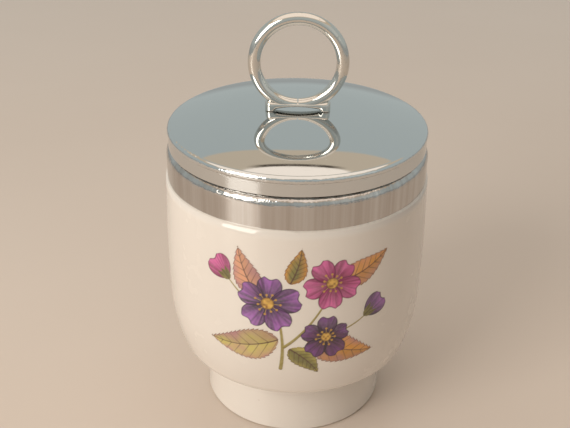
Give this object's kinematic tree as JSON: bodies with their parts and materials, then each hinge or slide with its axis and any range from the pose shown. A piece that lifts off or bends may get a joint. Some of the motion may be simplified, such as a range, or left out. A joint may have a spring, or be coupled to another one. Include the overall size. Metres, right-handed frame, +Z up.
{
  "type": "egg coddler",
  "caption": "Deep glazed porcelain cup on a foot ring, closed by a shallow domed metal screw cap with an upright lifting ring.",
  "frame": {"origin": "on the cup's axis, in the plane the foot stands on", "axes": "+Z up along the axis, X along the plane of the lifting ring, -Y towards the decorated side"},
  "size_m": [0.064, 0.064, 0.1006],
  "materials": {
    "glaze": "clear gloss glaze over warm white porcelain",
    "cement": "matt bedding cement, hidden",
    "collar_chrome": "bright plating with fine upright polishing streaks",
    "thread_metal": "plated, dull inside the cap",
    "cap_chrome": "mirror-polished plating",
    "ring_chrome": "bright plating, slightly pitted"
  },
  "bodies": {
    "cup": {"cup": "glaze", "collar_bedding": "cement", "collar": "collar_chrome"},
    "lid_screw": {"lid_thread_ring": "thread_metal"},
    "lid": {"lid_shell": "cap_chrome", "ring_saddle": "cap_chrome", "lifting_ring": "ring_chrome"}
  },
  "joints": [
    {"name": "lid_lift", "type": "slide", "parent": "cup", "child": "lid_screw", "axis": [0, 0, 1], "range_m": [0, 0.009]},
    {"name": "lid_turn", "type": "hinge", "parent": "lid_screw", "child": "lid", "pos_m": [0, 0, 0.072], "axis": [0, 0, 1], "range_deg": [0, 1080]}
  ],
  "couplings": [
    {"joint": "lid_lift", "follows": "lid_turn", "m_per_rad": 0.00047746}
  ]
}
